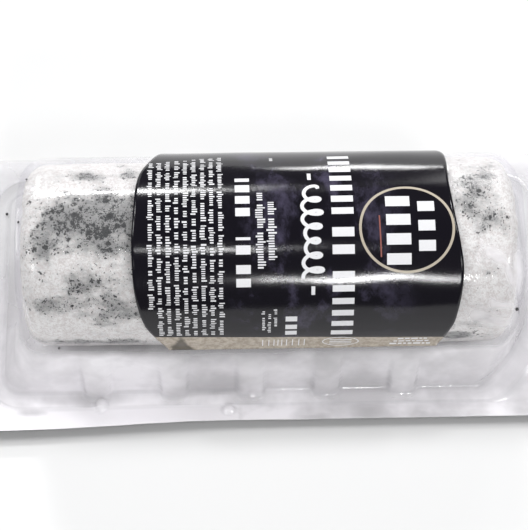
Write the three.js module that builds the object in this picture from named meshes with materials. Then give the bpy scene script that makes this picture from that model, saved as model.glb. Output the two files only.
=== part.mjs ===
// Ash-coated goat cheese log, sealed in a clear formed pack with a label over its crown.
// Millimetres, +Z up. X runs along the log, Y across the pack, and the origin is the middle
// of the pack's underside. Four pieces: the log, the flat base film that it lies on, the
// formed film that covers it and is sealed to the base all round, and the label.

import * as THREE from "three";
import { mergeVertices } from "three/addons/utils/BufferGeometryUtils.js";

// The log
const LOG_LENGTH = 107;
const LOG_RADIUS = 21;
const LOG_END_ROUNDING = 4;
const LOG_OFFSET = -0.2;
const LOG_FLAT_DEPTH = 0.5; // how far its own weight flattens the soft underside
const LOG_THIN_END = 0.5; // the -X end is this much thinner in radius

// The two films
const FILM_THICKNESS = 0.5;
const GAP = 0.35; // between pieces that touch
const PACK_LENGTH = 139;
const PACK_WIDTH = 67.6;
const PACK_CORNER = 4;

// The formed film's pocket
const POCKET_FOOT_HALF_LENGTH = 61;
const POCKET_FOOT_HALF_WIDTH = 25.5;
const POCKET_HALF_LENGTH = 56.5; // at the height of the log's axis
const POCKET_CORNER = 6.5;
const POCKET_FOOT_CORNER = 4.5;
const PEEL_CORNER_LENGTH = 14; // the front +X corner is cut off aslant at the foot
const PEEL_CORNER_WIDTH = 18;
const POCKET_END_FALL = 1.8; // how far each end draws in from the axis to the crown
const LEDGE_WIDTH = 3.6; // unsealed strip round the pocket's foot
const LEDGE_STEP = 0.4;

// The flutes that stiffen both long walls
const FLUTE_COUNT = 5;
const FLUTE_PITCH = 17.4;
const FLUTE_OFFSET = -4.5;
const FLUTE_HALF_WIDTH = 3.2;
const FLUTE_DEPTH = 1.6;
const FLUTE_TOP_BELOW_AXIS = 3;

// The label
const LABEL_LENGTH = 70.3;
const LABEL_OFFSET = 5.4;
const LABEL_THICKNESS = 0.3;
const LABEL_BELOW_AXIS = 1.6; // how far its front edge reaches down the pocket's wall
const LABEL_BACK_DEGREES = 66; // how far past the crown its back edge lies
const LABEL_BOW = 5.5; // how much shorter each half is at a long edge than at mid-width

// Heights that follow
const BASE_TOP = FILM_THICKNESS;
const AXIS_HEIGHT = BASE_TOP + GAP + LOG_RADIUS - LOG_FLAT_DEPTH;
const RIM_BOTTOM = BASE_TOP + GAP;
const RIM_TOP = RIM_BOTTOM + FILM_THICKNESS;
const LEDGE_TOP = RIM_TOP + LEDGE_STEP;
const CROWN_RADIUS = LOG_RADIUS + GAP + FILM_THICKNESS; // outside of the formed film
const CROWN_STEP = 10; // degrees between the crown's lines

const rad = THREE.MathUtils.degToRad;
const { lerp, clamp } = THREE.MathUtils;

// Whole numbers from 0 to count - 1.
const upTo = (count) => Array.from({ length: count }, (_, i) => i);

// count + 1 even values from first to last.
const evenly = (first, last, count) =>
  upTo(count + 1).map((i) => lerp(first, last, i / count));

// Mesh builder: points are [x, y, z], faces are triples of point numbers.
function geometryOf(points, faces) {
  const soup = new THREE.BufferGeometry();
  const position = new Float32Array(points.flat());
  soup.setAttribute("position", new THREE.BufferAttribute(position, 3));
  soup.setIndex(faces.flat());
  const merged = mergeVertices(soup, 1e-4);
  const index = merged.index.array;
  const kept = [];
  for (let i = 0; i < index.length; i += 3) {
    const [a, b, c] = index.subarray(i, i + 3);
    if (a !== b && b !== c && c !== a) kept.push(a, b, c);
  }
  merged.setIndex(kept);
  merged.computeVertexNormals();
  return merged;
}

// Skin over a row of closed rings. A ring is a list of { u, at }, with u rising from 0 round
// the ring, so rings with different numbers of points join up where their u agree.
function ringSkin(rings) {
  const points = [];
  const faces = [];
  const numbered = rings.map((ring) =>
    ring.map(({ u, at }) => ({ u, id: points.push(at) - 1 })),
  );
  for (let k = 0; k + 1 < numbered.length; k++) {
    const a = numbered[k];
    const b = numbered[k + 1];
    let i = 0;
    let j = 0;
    const after = (ring, n) => (n + 1 < ring.length ? ring[n + 1].u : Infinity);
    while (i < a.length || j < b.length) {
      const onA = a[i % a.length].id;
      const onB = b[j % b.length].id;
      const takeA = j === b.length || (i < a.length && after(a, i) <= after(b, j));
      if (takeA) {
        faces.push([onA, onB, a[(i + 1) % a.length].id]);
        i++;
      } else {
        faces.push([onA, onB, b[(j + 1) % b.length].id]);
        j++;
      }
    }
  }
  return geometryOf(points, faces);
}

const fluteCentres = upTo(FLUTE_COUNT).map(
  (i) => FLUTE_OFFSET + (i - (FLUTE_COUNT - 1) / 2) * FLUTE_PITCH,
);

// How far a flute stands out of the wall at x, as a share of its depth.
function fluteShare(x) {
  const off = Math.min(...fluteCentres.map((centre) => Math.abs(x - centre)));
  return Math.sqrt(Math.max(0, 1 - (off / FLUTE_HALF_WIDTH) ** 2));
}

// Where a ring has points along its long sides.
const FLUTE_POINTS = [-1, -0.8, -0.43, 0, 0.43, 0.8, 1];
const fineSide = fluteCentres.flatMap((centre) =>
  FLUTE_POINTS.map((share) => centre + share * FLUTE_HALF_WIDTH),
);

// Closed outline of the pocket or rim at one height, counter-clockwise from above, starting
// at the front. peel, 0 to 1, is how far the front +X corner is cut off aslant.
function outline({ halfLength, halfWidth, corner, z, peel = 0, flute = 0 }) {
  const round = Math.min(corner, halfWidth);
  const peelLength = lerp(round, PEEL_CORNER_LENGTH, peel);
  const peelWidth = lerp(round, Math.min(PEEL_CORNER_WIDTH, halfWidth), peel);
  const middles = flute > 0 ? fineSide : fluteCentres;
  const ring = [];
  const add = (u, x, y) => ring.push({ u, at: [x, y, z] });
  const along = (x) => (x + PACK_LENGTH) / (2 * PACK_LENGTH);
  const wall = (x) => halfWidth + flute * fluteShare(x);
  const quarter = (turn, length, width, power) => {
    const steps = 6;
    const [towardsX, towardsY] = [turn < 2 ? 1 : -1, turn % 3 === 0 ? -1 : 1];
    for (let i = 1; i < steps; i++) {
      const angle = rad((90 * i) / steps);
      const first = Math.sin(angle) ** power;
      const second = Math.cos(angle) ** power;
      const [shareX, shareY] = turn % 2 ? [second, first] : [first, second];
      add(
        turn * 2 + 1 + i / steps,
        towardsX * (halfLength - length * (1 - shareX)),
        towardsY * (halfWidth - width * (1 - shareY)),
      );
    }
  };
  const front = [round - halfLength, ...middles, halfLength - peelLength];
  front.forEach((x) => add(along(x), x, -wall(x)));
  quarter(0, peelLength, peelWidth, lerp(1, 1.45, peel));
  add(2, halfLength, peelWidth - halfWidth);
  add(2.5, halfLength, (peelWidth - round) / 2);
  add(2.99, halfLength, halfWidth - round);
  quarter(1, round, round, 1);
  const back = [halfLength - round, ...middles.toReversed(), round - halfLength];
  back.forEach((x) => add(4 + along(-x), x, wall(x)));
  quarter(2, round, round, 1);
  add(6, -halfLength, halfWidth - round);
  add(6.5, -halfLength, 0);
  add(6.99, -halfLength, round - halfWidth);
  quarter(3, round, round, 1);
  return ring;
}

// Outline of the pocket's crown, at a number of degrees above the log's axis.
function crownRing(degrees, inset) {
  const radius = CROWN_RADIUS - inset;
  const drawnIn = POCKET_END_FALL * (1 - Math.cos(rad(degrees))) ** 2;
  const top = degrees === 90;
  return outline({
    halfLength: POCKET_HALF_LENGTH - inset - drawnIn,
    halfWidth: top ? 0 : radius * Math.cos(rad(degrees)),
    corner: POCKET_CORNER,
    z: AXIS_HEIGHT + radius * Math.sin(rad(degrees)),
  });
}

// Outline of the pocket's wall at a height between its foot and the log's axis.
function wallRing(z, inset) {
  const share = (AXIS_HEIGHT - z) / (AXIS_HEIGHT - LEDGE_TOP);
  const fluteTop = AXIS_HEIGHT - FLUTE_TOP_BELOW_AXIS;
  const below = clamp((fluteTop - z) / (fluteTop - LEDGE_TOP), 0, 1);
  return outline({
    halfLength: lerp(POCKET_HALF_LENGTH, POCKET_FOOT_HALF_LENGTH, share) - inset,
    halfWidth: lerp(CROWN_RADIUS, POCKET_FOOT_HALF_WIDTH, share) - inset,
    corner: lerp(POCKET_CORNER, POCKET_FOOT_CORNER, clamp(share, 0, 1)) - inset * share,
    z,
    peel: clamp(share, 0, 1),
    flute: FLUTE_DEPTH * Math.sin((Math.PI / 2) * Math.sqrt(below)),
  });
}

// Outline at a distance outside the pocket's foot, for the unsealed ledge.
function ledgeRing(reach, z) {
  return outline({
    halfLength: POCKET_FOOT_HALF_LENGTH + reach,
    halfWidth: POCKET_FOOT_HALF_WIDTH + reach,
    corner: POCKET_FOOT_CORNER + reach,
    z,
    peel: 1,
  });
}

function rimEdge(z) {
  return outline({
    halfLength: PACK_LENGTH / 2,
    halfWidth: PACK_WIDTH / 2,
    corner: PACK_CORNER,
    z,
  });
}

// The formed film: outside from crown to rim, round the rim's edge, and up the inside again.
function formedFilm() {
  const crown = evenly(90, 0, 90 / CROWN_STEP);
  const wall = [
    AXIS_HEIGHT - FLUTE_TOP_BELOW_AXIS,
    AXIS_HEIGHT - 4.6,
    AXIS_HEIGHT - 8,
    AXIS_HEIGHT - 13,
  ];
  const outside = [
    ...crown.map((degrees) => crownRing(degrees, 0)),
    ...wall.map((z) => wallRing(z, 0)),
    wallRing(LEDGE_TOP, 0),
  ];
  const rim = [
    ledgeRing(LEDGE_WIDTH, LEDGE_TOP),
    ledgeRing(LEDGE_WIDTH + LEDGE_STEP, RIM_TOP),
    rimEdge(RIM_TOP),
    rimEdge(RIM_BOTTOM),
  ];
  const inside = [
    wallRing(RIM_BOTTOM, FILM_THICKNESS),
    ...wall.map((z) => wallRing(z, FILM_THICKNESS)).reverse(),
    ...crown.map((degrees) => crownRing(degrees, FILM_THICKNESS)).reverse(),
  ];
  return ringSkin([...outside, ...rim, ...inside]);
}

// The base film: one flat sheet with the rim's outline.
function baseFilm() {
  const shape = new THREE.Shape(
    rimEdge(0).map(({ at: [x, y] }) => new THREE.Vector2(x, y)),
  );
  return new THREE.ExtrudeGeometry(shape, {
    depth: FILM_THICKNESS,
    bevelEnabled: false,
  });
}

// Unevenness of the cheese, 0 to 1, from a few waves of different lengths.
function lumps(x, angle) {
  const wave =
    Math.sin(0.17 * x + 2 * angle + 0.6) +
    Math.sin(0.31 * x - 3 * angle + 2.1) +
    0.7 * Math.sin(0.58 * x + 5 * angle) * Math.sin(3 * angle - 0.22 * x);
  return clamp((wave + 2.7) / 5.4, 0, 1);
}

// A point of the log's skin. x0 and r0 are its place on the smooth profile, and grain is
// how far the cheese is broken up there.
function logPoint(x0, r0, angle, grain) {
  const thin = LOG_THIN_END * clamp((10 - x0) / (10 + LOG_LENGTH / 2), 0, 1);
  const uneven = lerp(0.5, lumps(x0 + 3 * r0, angle + 0.05 * r0), clamp(r0 / 6, 0, 1));
  const hollow = grain * uneven;
  const scale = 1 - (thin + hollow) / LOG_RADIUS;
  const flat = LOG_FLAT_DEPTH - LOG_RADIUS;
  const onEnd = Math.abs(x0) > LOG_LENGTH / 2 - LOG_END_ROUNDING;
  return [
    LOG_OFFSET + x0 - (onEnd ? Math.sign(x0) * hollow : 0),
    r0 * scale * Math.sin(angle),
    AXIS_HEIGHT + Math.max(flat, r0 * scale * Math.cos(angle)),
  ];
}

// The log: a rounded cylinder with an uneven skin, rougher on its ends.
function cheeseLog() {
  const around = 44;
  const sideGrain = 0.35;
  const endGrain = 1.1;
  const straight = LOG_LENGTH / 2 - LOG_END_ROUNDING;
  const face = LOG_RADIUS - LOG_END_ROUNDING;
  const end = [
    ...[0, 0.36, 0.7].map((share) => [LOG_LENGTH / 2, face * share, endGrain]),
    ...evenly(0, 90, 4).map((degrees) => [
      straight + LOG_END_ROUNDING * Math.cos(rad(degrees)),
      face + LOG_END_ROUNDING * Math.sin(rad(degrees)),
      lerp(endGrain, sideGrain, degrees / 90),
    ]),
  ];
  const profile = [
    ...end.map(([x, r, grain]) => [-x, r, grain]),
    ...evenly(-straight, straight, 18)
      .slice(1, -1)
      .map((x) => [x, LOG_RADIUS, sideGrain]),
    ...end.toReversed(),
  ];
  return ringSkin(
    profile.map(([x, r, grain]) =>
      upTo(around).map((i) => ({
        u: i,
        at: logPoint(x, r, (2 * Math.PI * i) / around, grain),
      })),
    ),
  );
}

// Half length of the label at a distance from its mid-width, which is halfWidth at an edge.
function labelHalfLength(distance, halfWidth) {
  return LABEL_LENGTH / 2 - LABEL_BOW * Math.abs(distance / halfWidth) ** 2.5;
}

// Lines of the label from its front edge to its back one, as the arc length from the front
// edge and the point and normal across the pack: { s, y, z, ny, nz }, z from the log's axis.
function labelLines() {
  const radius = CROWN_RADIUS + GAP;
  const draft = (POCKET_FOOT_HALF_WIDTH - CROWN_RADIUS) / (AXIS_HEIGHT - LEDGE_TOP);
  const onWall = [0, 0.5, 1].map((share) => {
    const below = LABEL_BELOW_AXIS * (1 - share);
    const s = share * LABEL_BELOW_AXIS;
    return { s, y: -radius - draft * below, z: -below, ny: -1, nz: 0 };
  });
  const lastDegrees = 90 + LABEL_BACK_DEGREES;
  const onCrown = [4, ...evenly(CROWN_STEP, lastDegrees, 15)].map((degrees) => {
    const angle = rad(degrees);
    const [ny, nz] = [-Math.cos(angle), Math.sin(angle)];
    const s = LABEL_BELOW_AXIS + radius * angle;
    return { s, y: radius * ny, z: radius * nz, ny, nz };
  });
  return [...onWall, ...onCrown];
}

// The label: a thin saddle over the crown, both faces joined round its edge.
function labelSheet() {
  const lines = labelLines();
  const halfWidth = lines.at(-1).s / 2;
  const columns = 9;
  const points = [];
  const faces = [];
  const sheet = (lift) =>
    lines.map(({ s, y, z, ny, nz }) => {
      const half = labelHalfLength(s - halfWidth, halfWidth);
      return evenly(-half, half, columns).map(
        (x) =>
          points.push([
            LABEL_OFFSET + x,
            y + lift * ny,
            AXIS_HEIGHT + z + lift * nz,
          ]) - 1,
      );
    });
  const under = sheet(0);
  const over = sheet(LABEL_THICKNESS);
  const quad = (a, b, c, d) => faces.push([a, b, c], [a, c, d]);
  for (let i = 0; i + 1 < lines.length; i++) {
    for (let j = 0; j < columns; j++) {
      quad(over[i][j], over[i][j + 1], over[i + 1][j + 1], over[i + 1][j]);
      quad(under[i][j], under[i + 1][j], under[i + 1][j + 1], under[i][j + 1]);
    }
    const last = columns;
    quad(under[i][0], over[i][0], over[i + 1][0], under[i + 1][0]);
    quad(under[i][last], under[i + 1][last], over[i + 1][last], over[i][last]);
  }
  for (let j = 0; j < columns; j++) {
    const end = lines.length - 1;
    quad(under[0][j], under[0][j + 1], over[0][j + 1], over[0][j]);
    quad(under[end][j], over[end][j], over[end][j + 1], under[end][j + 1]);
  }
  return geometryOf(points, faces);
}

const clearFilm = (name) =>
  new THREE.MeshStandardMaterial({
    name,
    color: 0xe9edf2,
    roughness: 0.12,
    metalness: 0,
    transparent: true,
    opacity: 0.28,
  });

const materials = {
  cheese: new THREE.MeshStandardMaterial({
    name: "cheese",
    color: 0xd9d6d0,
    roughness: 0.8,
    metalness: 0,
  }),
  baseFilm: clearFilm("base_film"),
  formedFilm: clearFilm("formed_film"),
  label: new THREE.MeshStandardMaterial({
    name: "label",
    color: 0x17151f,
    roughness: 0.3,
    metalness: 0,
  }),
};

function piece(name, geometry, material) {
  const mesh = new THREE.Mesh(geometry, material);
  mesh.name = name;
  return mesh;
}

const pack = new THREE.Group();
pack.name = "goat_cheese_log_pack";
pack.add(
  piece("base_film", baseFilm(), materials.baseFilm),
  piece("cheese_log", cheeseLog(), materials.cheese),
  piece("formed_film", formedFilm(), materials.formedFilm),
  piece("label", labelSheet(), materials.label),
);

export default pack;
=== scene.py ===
"""The goat cheese log in its clear pack, photographed from above and in front on a pale floor."""

import math
import random

import bpy
from mathutils import Matrix, Vector, noise


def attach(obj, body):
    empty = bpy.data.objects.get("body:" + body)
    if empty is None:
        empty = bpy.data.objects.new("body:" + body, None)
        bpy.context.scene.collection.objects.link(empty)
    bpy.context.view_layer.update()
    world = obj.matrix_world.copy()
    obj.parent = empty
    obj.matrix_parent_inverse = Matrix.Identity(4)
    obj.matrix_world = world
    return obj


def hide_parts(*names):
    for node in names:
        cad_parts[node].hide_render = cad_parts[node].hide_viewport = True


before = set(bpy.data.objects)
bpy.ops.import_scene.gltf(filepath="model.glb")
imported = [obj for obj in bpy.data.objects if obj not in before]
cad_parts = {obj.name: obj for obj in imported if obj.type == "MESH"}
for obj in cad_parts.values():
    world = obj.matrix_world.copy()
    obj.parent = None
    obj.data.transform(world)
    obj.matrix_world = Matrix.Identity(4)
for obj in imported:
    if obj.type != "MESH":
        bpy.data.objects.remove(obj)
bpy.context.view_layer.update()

MM = 0.001

# The log, in millimetres. Angles round it are in degrees from its crown, + towards the back.
LOG_HALF_LENGTH = 53.5
LOG_OFFSET = -0.2
LOG_RADIUS = 21.0
LOG_FLAT = 20.5
LOG_ROUNDING = 4.0
LOG_POINTS_AROUND = 260
AXIS_HEIGHT = 21.35

# The formed film.
CROWN_RADIUS = 21.75
PACK_HALF_LENGTH = 69.5
PACK_HALF_WIDTH = 33.8
PACK_CORNER = 4.0
FOOT_HALF_LENGTH = 61.0
FOOT_HALF_WIDTH = 25.5
FOOT_CORNER = 4.5
FOOT_FILLET = 1.1
FOOT_TUCK = 0.22
POCKET_HALF_LENGTH = 56.4
POCKET_CORNER = 6.5
POCKET_END_FALL = 1.8
POCKET_END_SLACK = 1.3
PEEL_LENGTH = 14.0
PEEL_WIDTH = 18.0
PEEL_BEND = 1.45
LEDGE_TOP = 1.75
LEDGE_WIDTH = 3.6
LEDGE_STEP = 0.4
LEDGE_DIP = 0.2
RIM_TOP = 1.35
RIM_MARGIN = 0.01
FLUTE_CENTRES = (-39.3, -21.9, -4.5, 12.9, 30.3)
FLUTE_HALF_WIDTH = 3.2
FLUTE_DEPTH = 1.6
FLUTE_TOP = 18.35

# How many points and rings the films have.
SIDE_STEPS = 250
CORNER_STEPS = 14
END_STEPS = 40
CROWN_STEPS = 26
WALL_STEPS = 48
FILLET_STEPS = 8
LEDGE_STEPS = 8
RIM_STEPS = 9

# The base film.
BASE_HEIGHT = 0.25
BASE_CURL = 0.98
BASE_RINGS = 60

# The label. Arcs on it start at its front edge, and places along it at its middle.
LABEL_RADIUS = 22.2
LABEL_OFFSET = 5.4
LABEL_BELOW_AXIS = 1.6
LABEL_BACK = 66.0
LABEL_THICKNESS = 0.12
LABEL_ARC = LABEL_BELOW_AXIS + LABEL_RADIUS * math.radians(90 + LABEL_BACK)
LABEL_ROWS = 150
LABEL_COLUMNS = 120
PRINT_LIFT = 0.03
PRINT_STEP = 0.8

# The stage. Lights and the camera are in metres.
FLOOR_HALF = 3000
FLOOR_HEIGHT = -0.02
LIGHT = 0.79
LIGHT_TARGET = (0, 0, 0.02)
WORLD_COLOUR = (0.96, 0.98, 1.0, 1)
WORLD_STRENGTH = 0.24
CAMERA_PLACE = (-0.0119, -0.1462, 0.3379)
CAMERA_AZIMUTH, CAMERA_ELEVATION, CAMERA_ROLL = 4.29, 65.63, 3.04
CAMERA_LENS = 105.3
CAMERA_SENSOR = 36
CAMERA_NEAR = 0.01


def clamp(value, low=0.0, high=1.0):
    return max(low, min(high, value))


def lerp(a, b, t):
    return a + (b - a) * t


def smooth(low, high, value):
    """A soft step from 0 at low to 1 at high, which may lie below low."""
    t = clamp((value - low) / (high - low))
    return t * t * (3 - 2 * t)


def bell(a, b=0.0):
    return math.exp(-(a ** 2) - b ** 2)


def evenly(first, last, count):
    return [lerp(first, last, i / count) for i in range(count + 1)]


def ripple(x, y, z, scale, seed=0.0):
    """Smooth noise from -1 to 1 at a point in millimetres, with lumps about scale wide."""
    return noise.noise(Vector((x / scale + seed, y / scale - seed, z / scale + 0.7 * seed)))


class Nodes:
    """A material's node tree, with short ways to add and join nodes."""

    def __init__(self, name):
        self.material = bpy.data.materials.new(name)
        self.material.use_nodes = True
        self.tree = self.material.node_tree
        self.tree.nodes.clear()

    def add(self, kind, settings=None, **inputs):
        node = self.tree.nodes.new("ShaderNode" + kind)
        for key, value in (settings or {}).items():
            setattr(node, key, value)
        for key, value in inputs.items():
            self.put(node, key.replace("_", " "), value)
        return node

    def put(self, node, key, value):
        """Links or sets an input, which key gives by name or, as #2, by number."""
        socket = node.inputs[int(key[1:])] if key[0] == "#" else node.inputs[key]
        if isinstance(value, bpy.types.NodeSocket):
            self.tree.links.new(value, socket)
        else:
            socket.default_value = value

    def math(self, operation, a, b=0.0, c=0.0, limit=False):
        node = self.add("Math", {"operation": operation, "use_clamp": limit})
        for i, value in enumerate((a, b, c)):
            self.put(node, f"#{i}", value)
        return node.outputs[0]

    def mix(self, factor, a, b):
        node = self.add("Mix", {"data_type": "RGBA"})
        self.put(node, "#0", factor)
        self.put(node, "#6", a)
        self.put(node, "#7", b)
        return node.outputs[2]

    def blend(self, factor, a, b):
        """A mix of two shaders."""
        node = self.add("MixShader", Fac=factor)
        self.tree.links.new(a.outputs[0], node.inputs[1])
        self.tree.links.new(b.outputs[0], node.inputs[2])
        return node

    def step(self, value, low, high, bottom=0.0, top=1.0):
        node = self.add("MapRange", {"interpolation_type": "SMOOTHSTEP"}, Value=value)
        for i, number in enumerate((low, high, bottom, top)):
            node.inputs[i + 1].default_value = number
        return node.outputs[0]

    def place(self, stretch=(1, 1, 1)):
        """The object's own coordinates in millimetres, stretched."""
        where = self.add("TexCoord").outputs["Object"]
        scale = [s / MM for s in stretch]
        return self.add("Mapping", Vector=where, Scale=scale).outputs[0]

    def noise(self, size, detail=3.0, rough=0.5, stretch=(1, 1, 1), shift=0.0):
        """Noise from 0 to 1 with lumps about size millimetres wide."""
        settings = {"noise_dimensions": "4D"}
        where = self.place(stretch)
        node = self.add("TexNoise", settings, Vector=where, W=shift, Scale=1 / size)
        node.inputs["Detail"].default_value = detail
        node.inputs["Roughness"].default_value = rough
        return node.outputs[0]

    def attribute(self, name):
        return self.add("Attribute", {"attribute_name": name}).outputs["Fac"]

    def bump(self, height, distance, strength=1.0):
        node = self.add("Bump", Height=height, Strength=strength)
        node.inputs["Distance"].default_value = distance * MM
        return node.outputs[0]

    def surface(self, colour, roughness, specular, **inputs):
        """A plain surface with its colour, roughness and specular level."""
        node = self.add("BsdfPrincipled", Base_Color=colour, Roughness=roughness, **inputs)
        if specular is not None:
            node.inputs["Specular IOR Level"].default_value = specular
        return self.finish(node)

    def finish(self, shader):
        output = self.add("OutputMaterial")
        self.tree.links.new(shader.outputs[0], output.inputs["Surface"])
        return self.material


CURD_DIM = (0.73, 0.69, 0.675, 1)
CURD_PALE = (0.94, 0.93, 0.92, 1)
ASH_VEIL = (0.19, 0.195, 0.195, 1)
ASH_FLAKE = (0.018, 0.02, 0.022, 1)
ASH_SPECK = (0.014, 0.015, 0.016, 1)

# Specks of ash: the spacing in millimetres, how common, how wide at most, and the pattern's shift.
SPECKS = ((0.95, 0.8, 0.24, 0), (0.5, 0.6, 0.24, 40), (1.9, 0.5, 0.28, 80))


def add_specks(n, colour, field, stipple):
    """Lays sharp black specks over a colour, more of them where there is more ash."""
    for spacing, often, most, shift in SPECKS:
        where = n.add("VectorMath", {"operation": "ADD"})
        n.put(where, "#0", n.place())
        where.inputs[1].default_value = (shift, shift, shift)
        cells = n.add("TexVoronoi", {"feature": "F1"}, Vector=where.outputs[0], Scale=1 / spacing)
        chance = n.add("SeparateColor", Color=cells.outputs["Color"]).outputs
        radius = n.math("MULTIPLY_ADD", chance[0], most, 0.05)
        shown = n.math("LESS_THAN", chance[1], n.math("MULTIPLY_ADD", field, often, 0.05))
        near = n.math("ADD", cells.outputs["Distance"], n.math("MULTIPLY", stipple, 0.5))
        speck = n.math("MULTIPLY", n.math("LESS_THAN", near, radius), shown)
        colour = n.mix(n.math("MULTIPLY", speck, 0.9), colour, ASH_SPECK)
    return colour


def make_cheese():
    """White curd under a soft grey veil, flakes and specks of ash, by the skin's ash number."""
    n = Nodes("cheese")
    ash = n.attribute("ash")
    cloudy = n.noise(5.0, detail=7, rough=0.66, shift=1.0)
    streaky = n.noise(2.2, detail=6, rough=0.75, stretch=(0.6, 1, 1), shift=4.0)
    fine = n.noise(0.9, detail=4, rough=0.75, shift=12.0)
    grains = n.noise(0.35, detail=2, rough=0.6, shift=7.0)
    field = n.math("MULTIPLY_ADD", ash, 1.5, -0.3)
    field = n.math("ADD", field, n.math("MULTIPLY_ADD", cloudy, 4.4, -2.2))
    field = n.math("ADD", field, n.math("MULTIPLY_ADD", streaky, 3.0, -1.5))
    stipple = n.math("ADD", n.math("MULTIPLY", fine, 2.6), n.math("MULTIPLY", grains, 1.6))
    stipple = n.math("SUBTRACT", stipple, 2.1)
    veil = n.step(n.math("MULTIPLY_ADD", stipple, 0.6, field), -0.2, 1.7)
    cluster = n.math("MULTIPLY", n.noise(2.8, detail=3, shift=17.0), 3.0)
    flake = n.math("MULTIPLY_ADD", fine, 5.0, n.math("MULTIPLY", grains, 2.0))
    flake = n.math("MULTIPLY_ADD", field, 0.5, n.math("ADD", flake, cluster))
    flake = n.step(flake, 6.0, 6.3)
    mottle = n.math("ADD", n.math("MULTIPLY", fine, 0.6), n.math("MULTIPLY", grains, 0.4))
    curd = n.mix(n.step(mottle, 0.42, 0.56), CURD_DIM, CURD_PALE)
    colour = n.mix(n.math("MULTIPLY", veil, 0.85), curd, ASH_VEIL)
    colour = n.mix(n.math("MULTIPLY", flake, 0.95), colour, ASH_FLAKE)
    colour = add_specks(n, colour, field, stipple)
    height = n.math("ADD", n.math("MULTIPLY", fine, 0.6), n.math("MULTIPLY", grains, 0.25))
    height = n.math("ADD", height, n.math("MULTIPLY", streaky, 0.7))
    return n.surface(colour, 0.5, 0.45, Normal=n.bump(height, 0.5, 0.9))


# The film's milk white, which also paints its glare and highlights, and the grey of its painted
# dark shade lines.
MILK_AND_HIGHLIGHT_WHITE = (0.965, 0.945, 0.975, 1)
EDGE_SHADE_GREY = (0.30, 0.30, 0.32, 1)
RIM_SHADOW = (0.12, 0.12, 0.12, 1)
HEAD_ON_MIRROR = 0.04


def make_film(name, haze, clear, shadow, bumps, shininess):
    """Clear film: mostly see-through, glossy by its angle, milky white where its haze number is
    high, which also paints its glare and highlights.
    """
    n = Nodes(name)
    waves = n.noise(9, detail=2, rough=0.5, shift=3.0)
    creases = n.noise(2.0, detail=3, rough=0.6, shift=5.0)
    sparkle = n.noise(0.45, detail=2, rough=0.6, shift=15.0)
    patches = n.step(n.noise(5.0, detail=3, rough=0.6, shift=21.0), 0.46, 0.6, 0.3, 2.6)
    sparkle = n.math("MULTIPLY", sparkle, patches)
    height = n.math("MULTIPLY_ADD", waves, 2.0, n.math("MULTIPLY", creases, 0.6))
    height = n.math("ADD", height, n.math("MULTIPLY", sparkle, 0.18))
    normal = n.bump(height, bumps, 1.0)

    # Shadow and diffuse rays go through a plain tint, which is dark at the near rim.
    through = n.add("BsdfTransparent", Color=(clear, clear * 0.997, clear * 1.008, 1))
    shade = n.mix(n.attribute("rim"), (*[shadow] * 3, 1), RIM_SHADOW)
    dark = n.add("BsdfTransparent", Color=shade)
    rays = n.add("LightPath").outputs
    unseen = n.math("MAXIMUM", rays["Is Shadow Ray"], rays["Is Diffuse Ray"])
    seen = n.blend(unseen, through, dark)

    # The gloss grows towards the film's edges, as on any clear sheet.
    gloss = n.add("BsdfGlossy", Color=(1, 1, 1, 1), Roughness=0.1, Normal=normal)
    facing = n.add("LayerWeight", Blend=0.5, Normal=normal).outputs["Facing"]
    power = n.math("POWER", facing, 5.0)
    mirror = n.math("MULTIPLY_ADD", power, 1 - HEAD_ON_MIRROR, HEAD_ON_MIRROR)
    shine = n.math("MULTIPLY", mirror, shininess, limit=True)
    shine = n.math("MULTIPLY", shine, n.math("SUBTRACT", 1.0, n.attribute("dull")))
    lit = n.math("MULTIPLY", shine, n.math("SUBTRACT", 1.0, unseen))

    # Milk whitens the film; where the haze number is high it also paints glare and highlights.
    patchy = n.step(n.noise(15, detail=4, rough=0.5, shift=9.0), 0.36, 0.68)
    milk_and_highlight = n.math("MULTIPLY", n.math("MULTIPLY_ADD", patchy, 0.9, 0.3), haze)
    local_milk_and_highlight = n.math("MULTIPLY", n.attribute("haze"), n.math("MULTIPLY_ADD", patchy, 0.5, 0.6))
    milk_and_highlight = n.math("ADD", milk_and_highlight, local_milk_and_highlight, limit=True)
    milk_and_highlight_layer = n.blend(milk_and_highlight, seen, n.add("BsdfDiffuse", Color=MILK_AND_HIGHLIGHT_WHITE))
    whole = n.blend(lit, milk_and_highlight_layer, gloss)
    # A grey line paints the dark shade seen along the film's folds and edges.
    line = n.add("BsdfDiffuse", Color=EDGE_SHADE_GREY)
    return n.finish(n.blend(n.attribute("line"), whole, line))


LABEL_BLACK = (0.0035, 0.0025, 0.006, 1)
LABEL_VIOLET = (0.085, 0.075, 0.125, 1)
BAND_DIM = (0.335, 0.285, 0.225, 1)
BAND_PALE = (0.53, 0.465, 0.385, 1)
BAND_SPOT = (0.055, 0.045, 0.028, 1)
BAND_WIDTH = 5.05


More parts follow.
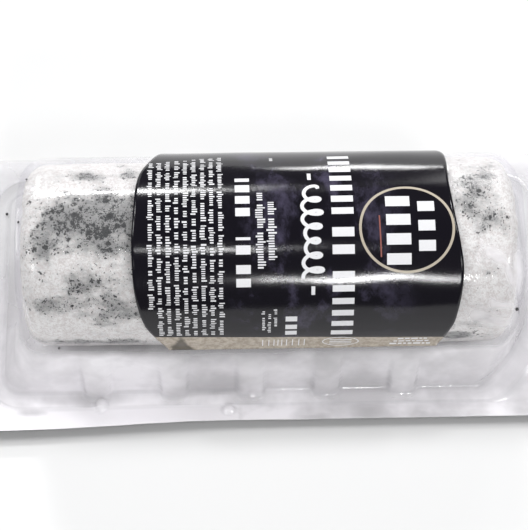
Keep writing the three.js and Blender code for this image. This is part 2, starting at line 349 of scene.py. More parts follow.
def make_label():
    """A glossy black sheet with violet wisps, and a beige band along its front edge."""
    n = Nodes("label_face")
    across = n.attribute("across")
    along = n.attribute("along")
    grain = n.noise(0.3, detail=3, rough=0.7, shift=2.0)
    waves = n.noise(6, detail=2, stretch=(0.4, 1, 1), shift=6.0)
    wisp = n.step(n.noise(7, detail=8, rough=0.66, stretch=(1, 0.6, 1), shift=11.0), 0.49, 0.70)
    near = n.step(n.math("ABSOLUTE", n.math("SUBTRACT", along, 4.0)), 8.0, 24.0, 1.0, 0.0)
    wisp = n.math("MULTIPLY", wisp, near)
    dark = n.mix(n.math("MULTIPLY", wisp, 0.75), LABEL_BLACK, LABEL_VIOLET)
    paper = n.noise(1.0, detail=5, rough=0.65, shift=8.0)
    beige = n.mix(n.step(paper, 0.35, 0.65), BAND_DIM, BAND_PALE)
    # The band turns dark brown near its -X end.
    spot = n.math("ABSOLUTE", n.math("ADD", along, 25.2))
    spot = n.math("ADD", spot, n.math("MULTIPLY", n.noise(2.5, detail=4, shift=31.0), 3.0))
    spot = n.math("ADD", spot, n.math("MULTIPLY", across, 0.4))
    beige = n.mix(n.step(spot, 3.3, 4.6, 0.9, 0.0), beige, BAND_SPOT)
    edge = n.math("MULTIPLY_ADD", along, 0.03, across)
    colour = n.mix(n.step(edge, BAND_WIDTH, BAND_WIDTH + 0.15, 1.0, 0.0), dark, beige)
    height = n.math("ADD", waves, n.math("MULTIPLY", grain, 0.4))
    return n.surface(colour, 0.12, 0.42, Normal=n.bump(height, 0.03, 1.0))


def make_ink(name, colour):
    n = Nodes(name)
    tone = n.mix(n.noise(0.5, detail=3), [c * 0.9 for c in colour] + [1], [*colour, 1])
    return n.surface(tone, 0.35, None)


def make_floor():
    n = Nodes("floor")
    tone = n.mix(n.noise(60, detail=2), (0.80, 0.80, 0.80, 1), (0.81, 0.81, 0.81, 1))
    return n.surface(tone, 0.85, 0.1)


def new_object(name, vertices, faces, material, body="root"):
    """A smooth-shaded mesh object from points in millimetres."""
    mesh = bpy.data.meshes.new(name)
    mesh.from_pydata([(x * MM, y * MM, z * MM) for x, y, z in vertices], [], faces)
    mesh.validate()
    mesh.polygons.foreach_set("use_smooth", [True] * len(mesh.polygons))
    mesh.materials.append(material)
    obj = bpy.data.objects.new(name, mesh)
    bpy.context.scene.collection.objects.link(obj)
    if body:
        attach(obj, body)
    return obj


def number_points(obj, name, values):
    """Stores one number a vertex, which a material reads by that name."""
    data = obj.data.attributes.new(name, "FLOAT", "POINT")
    data.data.foreach_set("value", values)


def ring_faces(rings, count, first=0):
    """Quads between rings of count points each."""
    faces = []
    for k in range(rings - 1):
        for i in range(count):
            a = first + k * count + i
            b = first + k * count + (i + 1) % count
            faces.append((a, a + count, b + count, b))
    return faces


# Ash clouds on the log: place along it, angle round it, half length, half angle and strength.
ASH = (
    (-45, -3, 4, 8, 0.9), (-38, -3, 4.5, 12, 1.15), (-31, -6, 5, 12, 0.95),
    (-38, -1, 13, 19, 0.55), (-30, 12, 8, 5, 0.6), (-42, 14, 4, 4, 0.6),
    (-29, -22, 6, 6, 0.5), (-39.3, 30, 4, 5, 1.2), (-31, 31, 4, 4, 0.7),
    (-48.5, -20, 3.5, 9, 1.0), (-37, -22, 10, 5, 0.55), (-41.8, -45, 2.8, 8, 1.1),
    (-47, -58, 4.5, 7, 1.1), (-35, -55, 4, 6, 0.8), (-32, -64, 5, 8, 1.1),
    (-41, -66, 4, 4, 0.5), (-37, -73, 5, 3, 0.5), (-37, -95, 14, 5, 1.15),
    (-26, -36, 4, 8, 0.5), (-30, 33, 4, 4, 0.45), (-48, 22, 3, 6, 0.4),
    (44, 16, 4, 8, 1.0), (42.5, 2, 4, 7, 1.0), (47, -8, 4, 7, 0.8), (47, 25, 3, 4, 0.9),
    (46.5, -12, 5, 6, 0.25), (45, -64, 6, 8, 0.3), (-37, -42, 6, 9, 0.75),
    (-40, -9, 5, 8, 0.5), (43, -78, 6, 5, 0.6), (40.6, -91, 3.1, 5, 3.2),
    (47.5, -40, 2.5, 6, 0.5), (50, 35, 5, 8, 0.4), (0, 120, 40, 40, 0.5),
    (-20, 170, 60, 30, 0.45), (30, 100, 20, 20, 0.5), (-45, 80, 10, 25, 0.6),
)
ASH_MOST = 1.5


def ash_at(x, angle):
    """How much ash the skin carries at a place."""
    total = 0.0
    for cx, ca, wx, wa, strength in ASH:
        turn = (angle - ca + 180) % 360 - 180
        total += strength * bell((x - cx) / wx, turn / wa)
    return min(total, ASH_MOST)


def lumps(x, y, z):
    """How deep the cheese is broken up at a point of its skin, in millimetres."""
    broad = 0.5 + 0.5 * ripple(x, y, z, 11, 3.0)
    crumbs = 0.5 + 0.5 * ripple(x, y, z, 2.6, 8.0)
    pits = max(0.0, ripple(x, y, z, 1.1, 5.0)) ** 2
    return 0.32 * broad + 0.14 * crumbs + 0.22 * pits


def log_profile():
    """The smooth log's outline as (along, radius), from the middle of one end to the other's."""
    face = LOG_RADIUS - LOG_ROUNDING
    straight = LOG_HALF_LENGTH - LOG_ROUNDING
    end = [(LOG_HALF_LENGTH, face * t) for t in evenly(0, 1, 26)]
    for degrees in evenly(0, 90, 12)[1:]:
        turn = math.radians(degrees)
        along = straight + LOG_ROUNDING * math.cos(turn)
        end.append((along, face + LOG_ROUNDING * math.sin(turn)))
    side = [(x, LOG_RADIUS) for x in evenly(straight, -straight, 170)[1:-1]]
    return end + side + [(-x, r) for x, r in reversed(end)]


def log_point(x0, y0, z0):
    """A point of the uneven skin, from its place on the smooth log. The +X end has a dimple."""
    end = smooth(LOG_HALF_LENGTH - LOG_ROUNDING - 2, LOG_HALF_LENGTH, abs(x0))
    depth = lumps(x0, y0, z0) * (1 + 1.6 * end)
    depth += end * 0.8 * (0.5 + 0.5 * ripple(x0, y0, z0, 5, 12.0))
    if x0 > 0:
        dimple = math.hypot((y0 + 9) / 5.5, (z0 - 8) / 5)
        depth += end * 1.3 * (1 - smooth(0.3, 1.2, dimple))
    thin = 0.5 * clamp((10 - x0) / 63) + 0.5 * end * end
    scale = 1 - (thin + depth * (1 - 0.9 * end)) / LOG_RADIUS
    x = LOG_OFFSET + x0 - math.copysign((depth - 0.9) * end, x0)
    return x, y0 * scale, AXIS_HEIGHT + max(-LOG_FLAT, z0 * scale)


def build_log(material):
    profile = log_profile()
    points, ash = [], []
    for x0, radius in profile:
        for i in range(LOG_POINTS_AROUND):
            turn = 2 * math.pi * i / LOG_POINTS_AROUND
            y0, z0 = radius * math.sin(turn), radius * math.cos(turn)
            angle = math.degrees(math.atan2(y0, z0)) if radius > 4 else 0.0
            points.append(log_point(x0, y0, z0))
            ash.append(ash_at(x0, angle))
    faces = ring_faces(len(profile), LOG_POINTS_AROUND)
    obj = new_object("cheese_body", points, [f[::-1] for f in faces], material)
    number_points(obj, "ash", ash)
    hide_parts("cheese_log")


def flute_share(x):
    off = min(abs(x - centre) for centre in FLUTE_CENTRES) / FLUTE_HALF_WIDTH
    return math.sqrt(max(0.0, 1 - off * off))


def outline(half_length, half_width, corner, peel=0.0, flute=0.0):
    """Points (x, y) round the pocket or rim, from the front's -X end, seen from above."""
    corner = min(corner, half_width)
    peel_length = lerp(corner, PEEL_LENGTH, peel)
    peel_width = lerp(corner, min(PEEL_WIDTH, half_width), peel)
    ring = []
    for x in evenly(corner - half_length, half_length - peel_length, SIDE_STEPS):
        ring.append((x, -half_width - flute * flute_share(x)))

    def quarter(towards_x, towards_y, length, width, falling, bend=1.0):
        for i in range(1, CORNER_STEPS):
            turn = math.pi / 2 * i / CORNER_STEPS
            first, second = math.sin(turn) ** bend, math.cos(turn) ** bend
            share_x, share_y = (second, first) if falling else (first, second)
            x = towards_x * (half_length - length * (1 - share_x))
            ring.append((x, towards_y * (half_width - width * (1 - share_y))))

    quarter(1, -1, peel_length, peel_width, False, lerp(1.0, PEEL_BEND, peel))
    for y in evenly(peel_width - half_width, half_width - corner, END_STEPS):
        ring.append((half_length, y))
    quarter(1, 1, corner, corner, True)
    for x in evenly(half_length - corner, corner - half_length, SIDE_STEPS):
        ring.append((x, half_width + flute * flute_share(x)))
    quarter(-1, 1, corner, corner, False)
    for y in evenly(half_width - corner, corner - half_width, END_STEPS):
        ring.append((-half_length, y))
    quarter(-1, -1, corner, corner, True)
    return ring


def on_rim(z):
    return z <= RIM_TOP + RIM_MARGIN


def rim_lift(x, y):
    """How far the rim curls up from the surface at a place outside the ledge."""
    out = max(abs(y) - 29.2, abs(x) - 64.8, 0.0)
    front = smooth(12, -25, x) if y < 0 else -0.3
    curl = 0.46 + 0.12 * front + 0.06 * ripple(x, y, 0, 22, 2.0)
    return out * curl + 0.12 * smooth(0, 4, out) * ripple(x, y, 0, 7, 6.0)


def rim_reach(x, y):
    """How much less far out than its trimmed line the near rim lies: it juts out at the -X end."""
    return (0.15 - 1.6 * smooth(-8, -60, x)) * smooth(-28, -33, y)


# Milky places on the film, some of them painted glare where the film shines white: x, y, half sizes
# and strength.
MILK_AND_GLARE_PATCHES = (
    (-58, -31.5, 12, 4, 0.9), (-36, -32, 22, 2.8, 1.3), (-14, -32.2, 8, 2.0, 1.1),
    (-53.6, -21.4, 4, 3, 0.6), (-42.8, -22.3, 5, 2.4, 0.6), (-34.6, -22.3, 4, 2.4, 0.6),
    (-46.3, -23.8, 6, 2, 0.5), (-28, -25, 7, 4, 0.3), (0, -31.5, 12, 2, 0.3),
    (38, -28.6, 5.5, 2.6, 1.3), (46, -23, 12, 6, 1.1), (8, -31.4, 4.5, 0.7, 0.9),
    (56, -26, 8, 8, 0.5), (-60, -20, 5, 10, 0.5), (12, -28.3, 28, 1.9, 1.5),
    (-30, -24, 22, 3, 0.4), (14, -23, 24, 3.5, 0.5),
)

# Small dents moulded into the rim and ledge: x, y.
NUBS = ((-38.5, -28.6), (-9.5, -30.6))
NUB_RADIUS = 1.6

# Painted highlights along the pocket's foot and up its corner, laid in as milky white: x, y, z at
# both ends, half width and strength.
FOOT_HIGHLIGHTS = (
    ((48.5, -25.4, 2.4), (54.0, -20.4, 7.5), 0.9, 0.95),
    ((54.0, -20.4, 7.5), (57.4, -15.0, 12.0), 0.9, 0.85),
    ((-60.5, -27.2, 1.8), (-42.0, -26.9, 1.8), 0.3, 0.5),
)

# Painted glints on the film round the log, laid in as milky white: x and angle at both ends, half
# width and strength.
GLINTS = (
    (40.2, 10, 43.8, -13, 0.16, 0.9), (41.0, 9, 44.4, -12, 0.12, 0.7),
    (45.8, -15.5, 49.5, -15.0, 0.2, 0.9), (44.6, -20, 43.4, -33, 0.25, 0.7),
    (53.0, -21, 55.0, -22, 0.4, 0.9), (47.0, -57, 52.5, -61, 0.8, 0.95),
    (52.6, -30, 53.4, -52, 1.5, 0.9), (50.0, -36, 51.5, -46, 0.9, 0.6),
    (46.0, -26, 48.5, -30, 1.4, 0.7), (44.5, -66, 51.0, -74, 2.4, 0.6),
    (-53.5, 20, -50.5, 16, 0.5, 0.9), (-53.8, 2, -54.4, -40, 0.35, 0.6),
    (-54.0, -40, -51.5, -74, 0.35, 0.55),
)
CRINKLE_GLINTS = 16
CRINKLE_GLINT_HEIGHT = 1.7


def on_crown(x, degrees):
    turn = math.radians(degrees)
    return (x, CROWN_RADIUS * math.sin(turn), AXIS_HEIGHT + CROWN_RADIUS * math.cos(turn))


def all_highlights():
    """Every painted highlight of the film along folds, flute edges and crinkles, and its glints
    round the log: both ends, half width and strength.
    """
    highlights = list(FOOT_HIGHLIGHTS)
    for c in FLUTE_CENTRES[1:]:
        # A painted highlight down each near flute's +X side.
        highlights.append(((c + 2.5, -25.1, 9.0), (c + 2.2, -26.8, 2.2), 0.55, 0.9))
    for x0, angle0, x1, angle1, width, strength in GLINTS:
        highlights.append((on_crown(x0, angle0), on_crown(x1, angle1), width, strength))
    # Short painted glints on crinkles along the ledge.
    rng = random.Random(3)
    for _ in range(CRINKLE_GLINTS):
        x0, y0 = rng.uniform(-30, 4), rng.uniform(-28.6, -26.4)
        x1, y1 = x0 + rng.uniform(-0.6, 3.2), y0 + rng.uniform(-0.7, 0.7)
        ends = (x0, y0, CRINKLE_GLINT_HEIGHT), (x1, y1, CRINKLE_GLINT_HEIGHT)
        highlights.append((*ends, rng.uniform(0.18, 0.4), 0.95))
    return highlights


# How strongly a painted highlight whitens a place.
def near_highlight(place, highlight):
    start, end, width, strength = highlight
    a, b, p = Vector(start), Vector(end), Vector(place)
    t = clamp((p - a).dot(b - a) / (b - a).length_squared)
    return strength * bell((p - a - t * (b - a)).length / width)


def near_rim_milk_and_glare(x, y):
    """How milky the near rim is, with painted glare that whitens it towards -X, and how much
    clearer one patch of it.
    """
    painted_glare = 1.8 * smooth(-4, -9, x)
    plain = lerp(1.0, 0.45, smooth(30, 45, x)) + 0.7 * ripple(x, y, 0, 8, 6.0)
    return max(plain, painted_glare), 1.1 * bell((x + 54) / 6, (y + 29.9) / 1.3)


def milk_and_highlights_at(x, y, z, highlights):
    """How milky the formed film is at a place, with its painted glare and highlights laid in as
    milk.
    """
    total = 0.0
    for cx, cy, wx, wy, strength in MILK_AND_GLARE_PATCHES:
        total += strength * bell((x - cx) / wx, (y - cy) / wy)
    total = min(total, 1.4) * smooth(20.5, 15, z)
    wall = 0.38 * smooth(20, 8, z) * smooth(20, -10, y)
    total += wall * (1 - 0.75 * smooth(54, 57, abs(x)) * smooth(2, 4, z))
    if on_rim(z):
        total += 0.3
    # Painted glare on the film over the log's back top.
    glare = clamp(0.5 + 0.9 * ripple(x, y, z, 9, 17.0) + 0.4 * ripple(x, y, z, 3, 7.0))
    glare *= lerp(0.1, 0.3, smooth(-30, -26, x))
    total += glare * smooth(3, 9, y) * smooth(24, 32, z) * smooth(56, 50, abs(x))
    # Painted highlights whiten the film where they lie.
    for highlight in highlights:
        total = max(total, near_highlight((x, y, z), highlight))
    total = min(0.97, total)
    # The near rim's milk, with its painted glare.
    if on_rim(z) and y < -28:
        milk_and_glare, clearer = near_rim_milk_and_glare(x, y)
        total = max(total, milk_and_glare) - clearer
    return total


def dullness(x, z):
    """How much less the film shines than elsewhere: its slack ends barely mirror anything."""
    end = smooth(50, 53, abs(x)) * smooth(1.36, 1.46, z)
    right = 0.65 * smooth(41, 43, x) * smooth(20, 25, z)
    left = 0.55 * smooth(-47, -44, x) * smooth(-25, -28, x) * smooth(20, 25, z)
    return max(end, right, left)


def foot_ring(reach, flute):
    """The outline round the pocket's foot, moved out by reach."""
    return outline(
        FOOT_HALF_LENGTH + reach,
        FOOT_HALF_WIDTH + reach,
        FOOT_CORNER + reach,
        peel=1.0,
        flute=flute,
    )


def film_rings():
    """The formed film's rings from crown to rim: their points, height and share of painted dark
    shade line.
    """
    for degrees in evenly(90, 0, CROWN_STEPS):
        turn = math.radians(degrees)
        drawn = POCKET_END_FALL * (1 - math.cos(turn)) ** 2
        half_width = 0.0 if degrees == 90 else CROWN_RADIUS * math.cos(turn)
        ring = outline(POCKET_HALF_LENGTH - drawn, half_width, POCKET_CORNER)
        yield ring, AXIS_HEIGHT + CROWN_RADIUS * math.sin(turn), 0.0
    for z in evenly(AXIS_HEIGHT, LEDGE_TOP + FOOT_FILLET, WALL_STEPS)[1:]:
        share = (AXIS_HEIGHT - z) / (AXIS_HEIGHT - LEDGE_TOP)
        below = clamp((FLUTE_TOP - z) / (FLUTE_TOP - LEDGE_TOP))
        ring = outline(
            lerp(POCKET_HALF_LENGTH, FOOT_HALF_LENGTH, share),
            lerp(CROWN_RADIUS, FOOT_HALF_WIDTH, share),
            lerp(POCKET_CORNER, FOOT_CORNER, share),
            peel=share,
            flute=FLUTE_DEPTH * smooth(0, 1, below**0.8),
        )
        yield ring, z, 0.0
    for degrees in evenly(0, 90, FILLET_STEPS)[1:]:
        turn = math.radians(degrees)
        above = FOOT_FILLET * (1 - math.sin(turn))
        reach = FOOT_FILLET * (1 - math.cos(turn)) - FOOT_TUCK * above / FOOT_FILLET
        line = 0.2 if 30 < degrees < 75 else 0.08
        yield foot_ring(reach, FLUTE_DEPTH), LEDGE_TOP + above, line
    for t in evenly(FOOT_FILLET / LEDGE_WIDTH, 1, LEDGE_STEPS)[1:]:
        ring = foot_ring(t * LEDGE_WIDTH, FLUTE_DEPTH * (1 - smooth(0.3, 0.8, t)))
        dip = LEDGE_DIP * math.sin(math.pi * t) * smooth(0.3, 0.5, t)
        yield ring, LEDGE_TOP - dip, 0.12 if t == 1 else 0.0
    inner = outline(
        FOOT_HALF_LENGTH + LEDGE_WIDTH + LEDGE_STEP,
        FOOT_HALF_WIDTH + LEDGE_WIDTH + LEDGE_STEP,
        FOOT_CORNER + LEDGE_WIDTH,
        peel=1.0,
    )
    edge = outline(PACK_HALF_LENGTH, PACK_HALF_WIDTH, PACK_CORNER)
    for t in evenly(0, 1, RIM_STEPS):
        ring = [(lerp(a, c, t), lerp(b, d, t)) for (a, b), (c, d) in zip(inner, edge)]
        yield ring, RIM_TOP, 0.14 if t == 0 else 0.0


def wrinkle(x, y, z):
    """How far the formed film stands out from its smooth shape, most of all at its slack ends."""
    slack = smooth(50, 56, abs(x)) * smooth(3, 10, z)
    crease = 0.28 * ripple(x, y, z, 5, 1.0) + 0.14 * ripple(x, y, z, 2.2, 4.0)
    return slack * (crease - 0.2) + 0.05 * ripple(x, y, z, 6, 9.0)


def nub_at(x, y, z):
    """The lift of a small dent near a place, and the share of painted dark shade line round it."""
    lift, line = 0.0, 0.0
    if z < 3:
        for nx, ny in NUBS:
            near = math.hypot(x - nx, y - ny)
            lift += 0.9 * smooth(NUB_RADIUS, 0.9, near)
            line = max(line, 0.2 * smooth(0.5, 0.1, abs(near - NUB_RADIUS)))
    return lift, line


def flute_shade_line(x, y, z):
    """The share of painted dark shade line along a near flute's -X side."""
    if not (2 < z < 12 and y < -20):
        return 0.0
    off = min(abs(x - c + FLUTE_HALF_WIDTH) for c in FLUTE_CENTRES)
    return 0.16 * smooth(1.0, 0.1, off) * smooth(12, 7, z)


def build_formed_film(material):
    rings = list(film_rings())
    # The film's painted highlights.
    highlights = all_highlights()
    points, haze, shade_lines, rim_shadow_blocks = [], [], [], []
    for ring, z, line in rings:
        for x, y in ring:
            push = wrinkle(x, y, z)
            x -= math.copysign(POCKET_END_SLACK * smooth(48, 57, abs(x)) * smooth(3, 9, z), x)
            out = Vector((x / 2, y, z - AXIS_HEIGHT)).normalized()
            lift, reach = (rim_lift(x, y), rim_reach(x, y)) if on_rim(z) else (0.0, 0.0)
            nub_lift, nub_shade_line = nub_at(x, y, z)
            lift += nub_lift
            points.append((x + out.x * push, y + out.y * push + reach, z + out.z * push + lift))
            # Milk, with the film's painted glare and highlights laid in.
            haze.append(milk_and_highlights_at(x, y, z, highlights))
            # Painted dark shade lines along the foot, ledge, rim step, dents and flutes.
            shade_lines.append(max(line, nub_shade_line, flute_shade_line(x, y, z)))
            # The near rim's share of painted contact shadow: it stops shadow and diffuse rays far
            # more than it dims the view.
            rim_shadow_blocks.append(smooth(-24, -29, y) if on_rim(z) else 0.0)
    faces = ring_faces(len(rings), len(rings[0][0]))
    obj = new_object("clear_cover", points, faces, material)
    number_points(obj, "haze", haze)
    number_points(obj, "line", shade_lines)
    number_points(obj, "rim", rim_shadow_blocks)
    number_points(obj, "dull", [dullness(x, z) for x, y, z in points])
    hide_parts("formed_film")


def build_base_film(material):
    edge = outline(PACK_HALF_LENGTH, PACK_HALF_WIDTH, PACK_CORNER)
    points, count = [], len(edge)
    for t in evenly(0, 1, BASE_RINGS)[1:]:
        for x, y in edge:
            px, py = x * t, y * t
            wave = 0.10 * ripple(px, py, 0, 16, 14.0) + 0.04 * ripple(px, py, 0, 5, 3.0)
            height = BASE_HEIGHT + wave + BASE_CURL * rim_lift(px, py)
            points.append((px, py + rim_reach(px, py), height))
    faces = ring_faces(BASE_RINGS, count)
    centre = len(points)
    points.append((0, 0, BASE_HEIGHT))
    faces += [(i, (i + 1) % count, centre) for i in range(count)]
    haze = []
    for x, y, z in points:
        fog = 0.3 * smooth(10, -10, y) + 0.6 * smooth(-12, -20, y)
        haze.append(fog * smooth(-31, -29, y))
    obj = new_object("clear_base", points, faces, material)
    number_points(obj, "haze", haze)
    number_points(obj, "line", [0.0] * len(points))
    # The near rim's share of painted contact shadow, as on the formed film.
    number_points(obj, "rim", [smooth(-29, -30, y) for x, y, z in points])
    number_points(obj, "dull", [0.0] * len(points))
    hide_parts("base_film")


def label_point(across, along, lift=0.0):
    """A place on the label's smooth cylinder, raised by lift."""
    if across < LABEL_BELOW_AXIS:
        below = LABEL_BELOW_AXIS - across
        y, z, normal = -LABEL_RADIUS - 0.19 * below, -below, (0, -1, 0)
    else:
        turn = (across - LABEL_BELOW_AXIS) / LABEL_RADIUS
        normal = (0, -math.cos(turn), math.sin(turn))
        y, z = LABEL_RADIUS * normal[1], LABEL_RADIUS * normal[2]
    x = LABEL_OFFSET + along
    return (x, y + lift * normal[1], AXIS_HEIGHT + z + lift * normal[2])


def label_surface(across, along, lift, above=0.0):
    """A place on the label with its gentle waves, raised by lift and above."""
    x, y, z = label_point(across, along)
    wave = 0.10 * ripple(x / 2, y, z, 7, 21.0) + 0.05
    return label_point(across, along, lift + wave + above)


# How far the label's bowed side edges reach along X, by arc.
LABEL_LEFT = (
    (-1, 22.0), (6, 25.4), (10, 27.4), (18, 29.2), (28, 29.7), (33, 29.5), (45, 28.4),
    (53, 25.6), (62, 23),
)
LABEL_RIGHT = (
    (-1, 36.0), (6, 38.2), (10, 39.4), (22, 40.6), (29, 39.8), (35, 38.9), (43, 38.3),
    (54, 38.6), (62, 37),
)


def label_reach(across, side):
    """How far the label reaches from its middle at that arc, towards side -1 or +1."""
    knots = LABEL_LEFT if side < 0 else LABEL_RIGHT
    k = max(i for i in range(len(knots) - 1) if i == 0 or across >= knots[i][0])
    before, (a, va), (b, vb) = knots[max(k - 1, 0)], knots[k], knots[k + 1]
    after = knots[min(k + 2, len(knots) - 1)]
    slope_a = (vb - before[1]) / (b - before[0])
    slope_b = (after[1] - va) / (after[0] - a)
    t = clamp((across - a) / (b - a))
    bend = (b - a) * t * (1 - t)
    reach = va + (vb - va) * t * t * (3 - 2 * t) + bend * (slope_a * (1 - t) - slope_b * t)
    return reach - side * LABEL_OFFSET


def build_label(material):
    points, across_at, along_at = [], [], []
    for lift in (LABEL_THICKNESS, 0.0):
        for i in range(LABEL_ROWS + 1):
            across = LABEL_ARC * i / LABEL_ROWS
            left, right = -label_reach(across, -1), label_reach(across, 1)
            for j in range(LABEL_COLUMNS + 1):
                along = lerp(left, right, j / LABEL_COLUMNS)
                points.append(label_surface(across, along, lift))
                across_at.append(across)
                along_at.append(along)
    width = LABEL_COLUMNS + 1
    under = (LABEL_ROWS + 1) * width
    faces = []
    for i in range(LABEL_ROWS):
        for j in range(LABEL_COLUMNS):
            a = i * width + j
            faces.append((a, a + 1, a + 1 + width, a + width))
            faces.append((under + a, under + a + width, under + a + width + 1, under + a + 1))
    border = [j for j in range(LABEL_COLUMNS)]
    border += [LABEL_COLUMNS + i * width for i in range(LABEL_ROWS)]
    border += [LABEL_ROWS * width + LABEL_COLUMNS - j for j in range(LABEL_COLUMNS)]
    border += [(LABEL_ROWS - i) * width for i in range(LABEL_ROWS)]
    for a, b in zip(border, border[1:] + border[:1]):
        faces.append((a, a + under, b + under, b))
    obj = new_object("label_skin", points, faces, material)
    number_points(obj, "across", across_at)
    number_points(obj, "along", along_at)
    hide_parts("label")


class Print:
    """Flat shapes printed on the label, gathered into one thin mesh a colour."""

    def __init__(self):
        self.points, self.faces = [], []

    def patch(self, corners):
        """A four-sided shape given as (across, along) corners, bent over the label."""
        steps = max(1, round(abs(corners[2][0] - corners[0][0]) / PRINT_STEP))
        first = len(self.points)
        for i in range(steps + 1):
            t = i / steps
            for a, b in ((corners[0], corners[3]), (corners[1], corners[2])):
                across, along = lerp(a[0], b[0], t), lerp(a[1], b[1], t)
                self.points.append(label_surface(across, along, LABEL_THICKNESS, PRINT_LIFT))
        for i in range(steps):
            a = first + 2 * i
            self.faces.append((a, a + 1, a + 3, a + 2))

    def bar(self, across0, across1, along0, along1):
        self.patch(((across0, along0), (across0, along1), (across1, along1), (across1, along0)))

    def stroke(self, places, width):
        """A line of constant width through (across, along) places."""
        for (a0, b0), (a1, b1) in zip(places, places[1:]):
            length = math.hypot(a1 - a0, b1 - b0) or 1.0
            da, db = (a1 - a0) / length * width / 2, (b1 - b0) / length * width / 2
            self.patch((
                (a0 - da - db, b0 - db + da),
                (a0 - da + db, b0 - db - da),
                (a1 + da + db, b1 + db - da),
                (a1 + da - db, b1 + db + da),
            ))

    def ticks(self, rng, start, end, along, height, word=(1.4, 5.0), gap=0.7):
        """A row of word-long groups of small ticks, from arc start to arc end."""
        across = start
        while across < end - 0.5:
            stop = min(across + rng.uniform(*word), end)
            while across < stop - 0.25:
                tick = rng.uniform(0.2, 0.4)
                low, high = rng.choice(((0, 0.72), (0, 0.72), (0.05, 0.7), (0, 1), (-0.22, 0.7)))
                self.bar(across, across + tick, along + height * low, along + height * high)
                across += tick + 0.24
            across += gap

    def build(self, name, material):
        new_object(name, self.points, self.faces, material)


def loop(across, along, half_across, half_along, steps, swapped=False):
    """An ellipse's places, from its side or, swapped, from its end."""
    places = []
    for t in evenly(0, 1, steps):
        turn = 2 * math.pi * t
        first, second = math.cos(turn), math.sin(turn)
        if swapped:
            first, second = second, first
        places.append((across + half_across * first, along + half_along * second))
    return places


# The bold row's blocks, by arc: start and length.
BOLD_BLOCKS = (
    (19.4, 1.9), (22.3, 1.9), (26.4, 1.9), (29.4, 0.6), (34.6, 1.9), (37.5, 1.9), (40.4, 1.9),
    (43.3, 1.0),
)


def print_rows(ink, rng):
    """The rows that run round the log: small print, a bold row in plain blocks, and notes."""
    for row in range(9):
        ink.ticks(rng, 14.5 if row == 0 else 6.6, 50.5 + 0.4 * row, -31.6 + 1.86 * row, 1.15)
    for start, length in BOLD_BLOCKS:
        ink.bar(start, start + length, -13.1, -10.0)
    ink.ticks(rng, 23.4, 40.6, -8.5, 1.7, word=(3, 8), gap=0.8)
    ink.ticks(rng, 25.2, 38.2, -6.2, 1.8, word=(9, 14))
    for row, (start, end) in enumerate(((8, 14.0), (7.2, 13.2), (9.2, 14.2))):
        ink.ticks(rng, start, end, -7.6 + 1.3 * row, 0.8)
    ink.ticks(rng, 51.0, 53.6, -5.4, 1.0)
    for start in (6.2, 8.2, 10.6):
        ink.bar(start, start + 1.4, -2.6, -0.1)


def print_flourish(ink):
    """One looping ribbon with a dash at each end."""
    places = []
    for t in evenly(0, 1, 230):
        turn = 2 * math.pi * 6.5 * t
        swell = 1.75 - 0.35 * math.cos(2 * math.pi * 1.6 * t)
        across = lerp(41.4, 21.4, t) + 1.05 * math.sin(turn)
        places.append((across, 3.1 + swell * math.cos(turn)))
    ink.stroke(places, 0.75)
    ink.bar(43.6, 45.6, 2.5, 3.3)
    ink.bar(17.4, 19.4, 2.8, 3.6)


def print_blocks(ink):
    """The large row in plain blocks, and two rows of blocks for inside the oval frame."""
    starts = [6.0 + 3.02 * k for k in range(6)] + [26.2, 29.9]
    starts += [34.8 + 2.82 * k for k in range(7)]
    for k, start in enumerate(starts):
        ink.bar(start, start + (2.0 if k in (6, 7) else 1.5), 7.3, 12.0)
    for k in range(4):
        ink.bar(23.8 + 4.2 * k, 26.2 + 4.2 * k, 18.8, 24.0)
    for k in range(3):
        ink.bar(26.6 + 4.3 * k, 28.9 + 4.3 * k, 25.6, 29.2)


def print_band(ink, rng):
    """Small plain marks on the beige band."""
    for row in range(3):
        across = 1.0 + 1.25 * row
        along = 20.5 + 0.8 * row
        while along < 29.0 - 0.6 * row:
            length = rng.uniform(0.5, 1.6)
            ink.bar(across, across + 0.55, along, along + length)
            along += length + 0.35
    ink.stroke(loop(2.9, 9.6, 1.9, 3.9, 50, swapped=True), 0.22)
    for row in range(3):
        ink.bar(1.9 + 0.8 * row, 2.25 + 0.8 * row, 7.2, 12.0)
    for k in range(9):
        ink.bar(1.2, 4.2, -7.5 + 1.1 * k + 0.3 * math.sin(k), -7.3 + 1.1 * k + 0.3 * math.sin(k))


def build_print(white, beige, rust):
    rng = random.Random(5)
    ink = Print()
    print_rows(ink, rng)
    print_flourish(ink)
    print_blocks(ink)
    ink.build("label_print_white", white)

    oval = Print()
    oval.stroke(loop(31.6, 23.2, 9.4, 9.9, 90), 0.55)
    oval.build("label_print_beige", beige)

    line = Print()
    line.stroke([(25.6, 17.6), (34.2, 17.4)], 0.3)
    line.build("label_print_rust", rust)

    band = Print()
    print_band(band, rng)
    band.build("label_print_band", white)


# Loose crumbs of ash, two on the base film and three on the pocket: x, y, z and radius.
CRUMBS = (
    (-62.2, 20.7, 0.6, 0.34), (-59.4, 18.5, 0.6, 0.3), (-47.0, -20.4, 16.3, 0.3),
    (54.5, -15.4, 22.5, 0.42), (-52.3, 8.85, 41.2, 0.22),
)
CRUMB_RINGS = 7
CRUMB_POINTS = 10


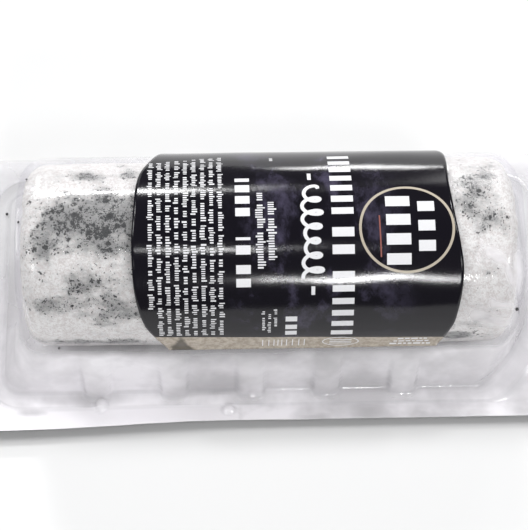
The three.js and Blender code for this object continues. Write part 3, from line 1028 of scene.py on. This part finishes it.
def build_crumbs(material):
    points, faces = [], []
    for x, y, z, size in CRUMBS:
        centre = Vector((x, y, z))
        first = len(points)
        for i in range(CRUMB_RINGS):
            rise = math.pi * i / (CRUMB_RINGS - 1) - math.pi / 2
            for k in range(CRUMB_POINTS):
                turn = 2 * math.pi * k / CRUMB_POINTS
                across, up = math.cos(rise), math.sin(rise)
                spot = Vector((math.cos(turn) * across, math.sin(turn) * across, up))
                reach = size * (1 + 0.5 * ripple(*(spot * 2), 1.3, x))
                points.append(tuple(centre + spot * reach))
        faces += ring_faces(CRUMB_RINGS, CRUMB_POINTS, first)
    new_object("ash_crumbs", points, faces, material)


def build_stage():
    corners = ((-1, -1), (1, -1), (1, 1), (-1, 1))
    points = [(x * FLOOR_HALF, y * FLOOR_HALF, FLOOR_HEIGHT) for x, y in corners]
    floor = new_object("floor", points, [(0, 1, 2, 3)], make_floor(), body=None)


# Soft lights round the pack: name, degrees from straight behind (+ towards +X), elevation,
# distance, width, height and power. The log's long side mirrors the small lamps alone.
LIGHTS = (
    ("key_back_left", -38, 54.0, 3.5, 0.48, 0.48, 33.0),
    ("key_back_right", 38, 54.0, 3.5, 0.48, 0.48, 32.0),
    ("key_left", -74, 50.0, 2.0, 0.5, 0.5, 12.6),
    ("key_right", 74, 50.0, 2.0, 0.5, 0.5, 11.0),
    ("back_low_left", -14, 22, 1.0, 0.10, 0.45, 0.8),
    ("back_low_right", 15, 22, 1.0, 0.10, 0.45, 0.7),
    ("front_left", -142, 45, 0.9, 0.12, 0.12, 0.3),
    ("front_right", 142, 45, 0.9, 0.12, 0.12, 1.3),
    ("lamp_back", -6.5, 38.4, 3.0, 0.44, 0.15, 24.0),
    ("lamp_back_low", 6.3, 4, 1.0, 0.11, 0.06, 0.8),
    ("lamp_front", 172.6, 33, 1.0, 0.056, 0.08, 2.0),
    ("lamp_front_dim", 169, 33, 1.0, 0.05, 0.09, 0.5),
    ("lamp_camera", -178, 69.6, 1.0, 0.035, 0.05, 0.6),
)


def build_lights():
    for name, side, elevation, distance, width, height, power in LIGHTS:
        light = bpy.data.lights.new(name, "AREA")
        light.shape = "RECTANGLE"
        light.size, light.size_y = width, height
        light.energy = LIGHT * power
        obj = bpy.data.objects.new(name, light)
        bpy.context.scene.collection.objects.link(obj)
        turn, rise = math.radians(side), math.radians(elevation)
        flat = math.cos(rise)
        away = Vector((math.sin(turn) * flat, math.cos(turn) * flat, math.sin(rise)))
        target = Vector(LIGHT_TARGET)
        obj.location = target + distance * away
        obj.rotation_euler = (target - obj.location).to_track_quat("-Z", "Y").to_euler()
    world = bpy.data.worlds.new("studio")
    world.use_nodes = True
    back = world.node_tree.nodes["Background"]
    back.inputs["Color"].default_value = WORLD_COLOUR
    back.inputs["Strength"].default_value = WORLD_STRENGTH * LIGHT
    bpy.context.scene.world = world


def build_camera():
    angles = (CAMERA_AZIMUTH, CAMERA_ELEVATION, CAMERA_ROLL)
    azimuth, elevation, roll = map(math.radians, angles)
    forward = Vector((
        math.sin(azimuth) * math.cos(elevation),
        math.cos(azimuth) * math.cos(elevation),
        -math.sin(elevation),
    ))
    right = forward.cross(Vector((0, 0, 1))).normalized()
    up = right.cross(forward)
    right, up = (
        math.cos(roll) * right + math.sin(roll) * up,
        math.cos(roll) * up - math.sin(roll) * right,
    )
    data = bpy.data.cameras.new("camera")
    data.sensor_width = CAMERA_SENSOR
    data.lens = CAMERA_LENS
    data.clip_start = CAMERA_NEAR
    camera = bpy.data.objects.new("camera", data)
    turn = Matrix((right, up, -forward)).transposed().to_4x4()
    camera.matrix_world = Matrix.Translation(CAMERA_PLACE) @ turn
    bpy.context.scene.collection.objects.link(camera)
    bpy.context.scene.camera = camera


bpy.context.scene.view_settings.view_transform = "Standard"
build_stage()
build_lights()
build_camera()
build_log(make_cheese())
build_formed_film(make_film("clear_formed", 0.02, 0.955, 0.92, 0.08, 1.6))
build_base_film(make_film("clear_flat", 0.03, 0.975, 0.92, 0.05, 0.4))
build_crumbs(make_ink("ash", (0.02, 0.02, 0.02)))
build_label(make_label())
build_print(
    make_ink("print_white", (0.82, 0.82, 0.84)),
    make_ink("print_beige", (0.50, 0.44, 0.35)),
    make_ink("print_rust", (0.30, 0.10, 0.08)),
)
